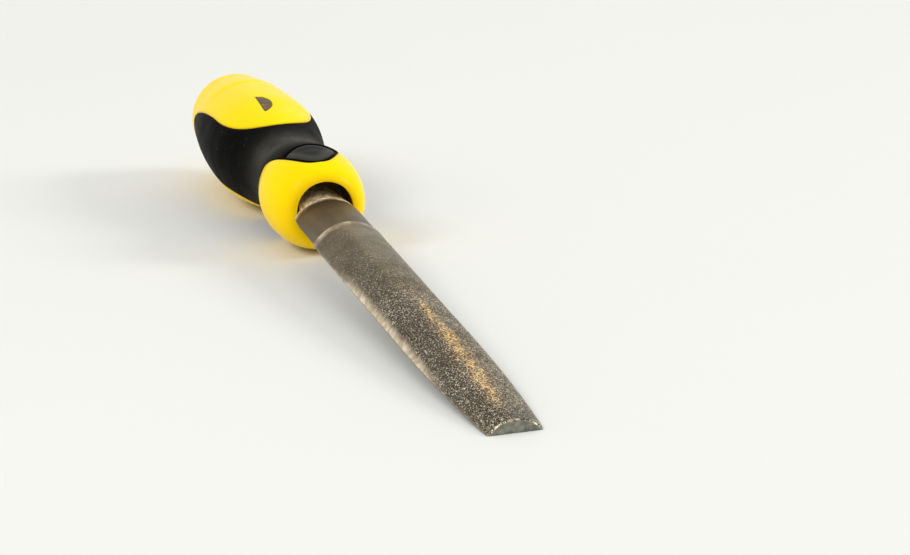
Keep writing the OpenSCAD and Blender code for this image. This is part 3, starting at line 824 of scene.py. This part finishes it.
THUMB_DARK, THUMB_LIGHT = (0.0050, 0.0051, 0.0038, 1), (0.0080, 0.0082, 0.0062, 1)
THUMB_SCUFFED, THUMB_LINT = (0.09, 0.09, 0.08, 1), (0.20, 0.18, 0.15, 1)
THUMB_FRONT_HIGHLIGHT = (0.058, 0.058, 0.046, 1)

smooth_rubber, tree, shader, where = new_material("thumb_pad_rubber")
tone = noise(tree, where, 130.0, 3.0)
fine = noise(tree, where, 2600.0, 2.0, 0.6)
marks = use_group(tree, scuffs, where, 1.0)
bits = use_group(tree, lint, where, 0.8, 700.0)
shader.inputs["Specular IOR Level"].default_value = 0.05
colour = blend(tree, tone, THUMB_DARK, THUMB_LIGHT)
colour = tinted(tree, marks, 0.5, colour, THUMB_SCUFFED)
colour = tinted(tree, bits, 0.5, colour, THUMB_LINT)
# Painted highlight along the front edge
colour = tinted(tree, mask_of(tree, "rim"), 0.7, colour, THUMB_FRONT_HIGHLIGHT)
rough = spread_to(tree, tone, 0.3, 0.7, 0.34, 0.44)
rough = number(tree, "ADD", rough, number(tree, "MULTIPLY", marks, 0.2))
connect(tree, shader, colour, rough, [(fine, 0.000015), (marks, 0.00001)])
thumb.data.materials.append(smooth_rubber)
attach(thumb, "root")
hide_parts("thumb_pad")

# ---------------------------------------------------------------- Profile mark
# A plain sign for the blade's section, a small half round, let into the top panel in dark
# brown lacquer.

WALL = 0.45
half_turn = math.acos((MARK_SIDE - BOW_SIDE) / BOW_RADIUS)
sweep = np.linspace(-half_turn, half_turn, 61)
bow = np.stack([MARK_AT + BOW_RADIUS * np.sin(sweep), BOW_SIDE + BOW_RADIUS * np.cos(sweep)], -1)
outline = np.concatenate([bow, np.linspace(bow[-1], bow[0], 61)[1:-1]])
middle = np.array([MARK_AT, MARK_SIDE + 0.4 * MARK_WIDTH])

# Loops drawn in towards the middle: the hidden wall, the rounded rim and the flat top
shares = np.array([0.99, 0.99, 0.975, 0.94, 0.8, 0.6, 0.4, 0.2])
drops = np.array([WALL, 0.07, 0.02, 0.0, 0.0, 0.0, 0.0, 0.0])
loops = middle + (outline - middle) * shares[:, None, None]
loops = np.concatenate([loops.reshape(-1, 2), [middle, middle]])
drops = np.concatenate([np.repeat(drops, len(outline)), [0.0, WALL]])
mark_s, mark_y = loops[:, 0], loops[:, 1]
mark_angle = np.arcsin(mark_y / handle_radius(mark_s))
sunk = sign_field(mark_s, mark_angle)
mark_h = np.sqrt((handle_radius(mark_s) - sunk - drops) ** 2 - mark_y**2)
count, last = len(outline), (len(shares) - 1) * len(outline)
mark_caps = [fan(last + count, last, count), fan(last + count + 1, 0, count, True)]
mark_caps = np.concatenate(mark_caps)
mark_points = on_handle(mark_s, mark_y, mark_h)
mark_quads = ring_quads(len(shares), count)
mark = build_piece("profile_mark_lacquer", mark_points, mark_quads, mark_caps, None, 50)

LACQUER_DARK, LACQUER_LIGHT = (0.050, 0.024, 0.004, 1), (0.095, 0.050, 0.008, 1)
LACQUER_WORN = (0.45, 0.28, 0.01, 1)

lacquer, tree, shader, where = new_material("dark_brown_lacquer")
wear = noise(tree, where, 900.0, 3.0, 0.6)
tone = noise(tree, where, 300.0, 2.0)
colour = blend(tree, tone, LACQUER_DARK, LACQUER_LIGHT)
colour = blend(tree, spread_to(tree, wear, 0.56, 0.66, 0.0, 0.55), colour, LACQUER_WORN)
rough = spread_to(tree, wear, 0.3, 0.7, 0.35, 0.55)
connect(tree, shader, colour, rough, [(wear, 0.00002)])
mark.data.materials.append(lacquer)
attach(mark, "root")
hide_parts("profile_mark")

# ---------------------------------------------------------------- Floor, light and camera
# A plain pale sheet on which the tool rests by the handle's belly and the blade's tip, under two
# large soft lamps and an even sky.

FLOOR_REACH = 4.0
PAPER_DARK, PAPER_LIGHT = (0.700, 0.705, 0.680, 1), (0.720, 0.725, 0.700, 1)
SKY, SKY_STRENGTH = (1.0, 1.0, 0.985, 1), 0.88

# The floor's slope is that of the line through the lowest point of the handle and of the blade,
# found again with each better slope
tilt = 0.0
for attempt in range(6):
    low_butt = core_points[np.argmin(core_points[:, 2] - tilt * core_points[:, 0])]
    low_tip = blade_points[np.argmin(blade_points[:, 2] - tilt * blade_points[:, 0])]
    tilt = (low_tip[2] - low_butt[2]) / (low_tip[0] - low_butt[0])
level = (low_tip[2] - tilt * low_tip[0]) * 0.001 - 0.00002
floor_x = np.array([-1, 1, 1, -1]) * FLOOR_REACH
floor_y = np.array([-1, -1, 1, 1]) * FLOOR_REACH
floor_corners = np.stack([floor_x, floor_y, level + tilt * floor_x], -1).tolist()
floor_mesh = bpy.data.meshes.new("floor")
floor_mesh.from_pydata(floor_corners, [], [(0, 1, 2, 3)])
floor = bpy.data.objects.new("floor", floor_mesh)
bpy.context.scene.collection.objects.link(floor)
paper, tree, shader, where = new_material("pale_paper")
mottle = noise(tree, where, 4.0, 2.0)
fibre = noise(tree, where, 900.0, 3.0)
colour = blend(tree, mottle, PAPER_DARK, PAPER_LIGHT)
rough = spread_to(tree, fibre, 0.3, 0.7, 0.55, 0.70)
connect(tree, shader, colour, rough, [(fibre, 0.00002)])
floor.data.materials.append(paper)

world = bpy.data.worlds.new("even_sky")
world.use_nodes = True
world.node_tree.nodes["Background"].inputs[0].default_value = SKY
world.node_tree.nodes["Background"].inputs[1].default_value = SKY_STRENGTH
bpy.context.scene.world = world


def soft_lamp(name, place, size, power, colour):
    """A square lamp that faces the middle of the tool."""
    lamp = bpy.data.lights.new(name, "AREA")
    lamp.shape = "SQUARE"
    lamp.size = size
    lamp.energy = power
    lamp.color = colour
    holder = bpy.data.objects.new(name, lamp)
    holder.location = place
    holder.rotation_mode = "QUATERNION"
    holder.rotation_quaternion = (Vector((-0.08, 0, 0)) - Vector(place)).to_track_quat("-Z", "Y")
    bpy.context.scene.collection.objects.link(holder)


soft_lamp("lamp_right", (0.55, 2.00, 1.15), 0.70, 26.0, (1.0, 0.985, 0.95))
soft_lamp("lamp_left", (0.10, -1.70, 1.70), 0.80, 18.0, (1.0, 1.0, 1.0))

camera_data = bpy.data.cameras.new("camera")
camera_data.sensor_width = 36.0
camera_data.lens = 220.3
camera_data.clip_start, camera_data.clip_end = 0.05, 50.0
camera = bpy.data.objects.new("camera", camera_data)
camera.location = (1.4078, -0.3682, 0.4956)
forward = Vector((-0.91742, 0.24545, -0.31321))
camera.rotation_mode = "QUATERNION"
roll = Quaternion((0, 0, 1), math.radians(-2.05))
camera.rotation_quaternion = forward.to_track_quat("-Z", "Y") @ roll
bpy.context.scene.collection.objects.link(camera)
bpy.context.scene.camera = camera
bpy.context.scene.view_settings.view_transform = "Standard"
